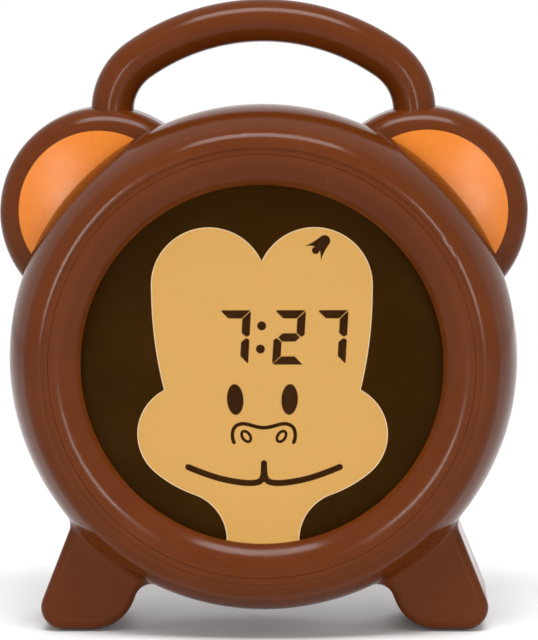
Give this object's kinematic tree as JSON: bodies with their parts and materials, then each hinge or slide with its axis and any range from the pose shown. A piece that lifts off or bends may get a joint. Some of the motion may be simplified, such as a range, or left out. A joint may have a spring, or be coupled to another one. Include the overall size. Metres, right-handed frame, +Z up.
{
  "type": "animal-head alarm clock with night light",
  "caption": "Round brown animal-head bedside alarm clock with lit display face, ears, carry handle, splayed feet, speaker, battery bay and back controls.",
  "frame": {"origin": "centre of the clock's footprint, on the surface that it stands on", "axes": "+Z up through the handle, +Y towards the back, so the display faces -Y; +X to the right seen from the front"},
  "size_m": [0.1516, 0.06, 0.1804],
  "materials": {
    "brown_housing": "glossy brown ABS",
    "brown_bezel": "glossy brown ABS",
    "brown_back": "glossy brown ABS, finely textured back panel",
    "brown_ear": "glossy brown ABS",
    "orange_insert": "glossy orange ABS",
    "brown_handle": "glossy brown ABS",
    "brown_foot": "glossy brown ABS",
    "foot_pad_rubber": "soft dark rubber",
    "clear_lens": "clear polished acrylic",
    "mask_film": "dark printed film",
    "display_glass": "clear glass",
    "lit_display_glass": "glass over amber backlight film",
    "segment_film": "dark liquid-crystal segments",
    "amber_diffuser": "milky acrylic",
    "board_green": "solder-masked circuit board",
    "led_amber": "amber light-emitting diodes",
    "carrier_plastic": "white ABS",
    "screw_steel": "zinc-plated steel",
    "brown_door": "glossy brown ABS",
    "cell_sleeve": "plain battery sleeve",
    "contact_plate": "nickel-plated steel",
    "spring_wire": "nickel-plated spring steel",
    "component_black": "black moulded packages",
    "button_tan": "satin tan ABS",
    "button_orange": "satin orange ABS",
    "speaker_cone": "black paper cone in a steel basket",
    "clamp_steel": "pressed steel",
    "ribbon_lead": "flat flexible lead"
  },
  "bodies": {
    "clock": {"front_housing": "brown_housing", "display_bezel": "brown_bezel", "rear_housing": "brown_back", "left_ear_front": "brown_ear", "right_ear_front": "brown_ear", "left_ear_rear": "brown_ear", "right_ear_rear": "brown_ear", "left_ear_insert": "orange_insert", "right_ear_insert": "orange_insert", "handle_front_half": "brown_handle", "handle_rear_half": "brown_handle", "left_foot": "brown_foot", "right_foot": "brown_foot", "left_foot_pad": "foot_pad_rubber", "right_foot_pad": "foot_pad_rubber", "display_lens": "clear_lens", "face_mask": "mask_film", "lcd_front_glass": "display_glass", "lcd_rear_glass": "lit_display_glass", "lcd_segments": "segment_film", "light_diffuser": "amber_diffuser", "light_board": "board_green", "light_leds": "led_amber", "display_carrier": "carrier_plastic", "display_screws": "screw_steel", "handle_screws": "screw_steel", "foot_screws": "screw_steel", "ear_screws": "screw_steel", "housing_screws": "screw_steel", "board_screws": "screw_steel", "speaker_screws": "screw_steel", "battery_cell_1": "cell_sleeve", "battery_cell_2": "cell_sleeve", "battery_cell_3": "cell_sleeve", "battery_plates": "contact_plate", "battery_springs": "spring_wire", "main_board": "board_green", "board_components": "component_black", "tact_switches": "component_black", "slide_switch_body": "component_black", "speaker": "speaker_cone", "speaker_clamp": "clamp_steel", "power_socket": "component_black", "display_ribbon": "ribbon_lead"},
    "hour_button": {"hour_button": "button_tan"},
    "minute_button": {"minute_button": "button_tan"},
    "alarm_set_button": {"alarm_set_button": "button_tan"},
    "volume_button": {"volume_button": "button_tan"},
    "snooze_button": {"snooze_button": "button_orange"},
    "night_light_button": {"night_light_button": "button_orange"},
    "alarm_switch_knob": {"alarm_switch_knob": "button_tan"},
    "battery_door": {"battery_door": "brown_door"}
  },
  "joints": [
    {"name": "hour_button_press", "type": "slide", "parent": "clock", "child": "hour_button", "axis": [0, -1, 0], "range_m": [0, 0.0008], "stiffness_N_per_m": 250},
    {"name": "minute_button_press", "type": "slide", "parent": "clock", "child": "minute_button", "axis": [0, -1, 0], "range_m": [0, 0.0008], "stiffness_N_per_m": 250},
    {"name": "alarm_set_button_press", "type": "slide", "parent": "clock", "child": "alarm_set_button", "axis": [0, -1, 0], "range_m": [0, 0.0008], "stiffness_N_per_m": 250},
    {"name": "volume_button_press", "type": "slide", "parent": "clock", "child": "volume_button", "axis": [0, -1, 0], "range_m": [0, 0.0008], "stiffness_N_per_m": 250},
    {"name": "snooze_button_press", "type": "slide", "parent": "clock", "child": "snooze_button", "axis": [0, -1, 0], "range_m": [0, 0.0008], "stiffness_N_per_m": 250},
    {"name": "night_light_button_press", "type": "slide", "parent": "clock", "child": "night_light_button", "axis": [0, -1, 0], "range_m": [0, 0.0008], "stiffness_N_per_m": 250},
    {"name": "alarm_switch_slide", "type": "slide", "parent": "clock", "child": "alarm_switch_knob", "axis": [1, 0, 0], "range_m": [0, 0.004]},
    {"name": "battery_door_hinge", "type": "hinge", "parent": "clock", "child": "battery_door", "pos_m": [0, 0.0269, 0.0319], "axis": [-1, 0, 0], "range_deg": [0, 95]}
  ]
}
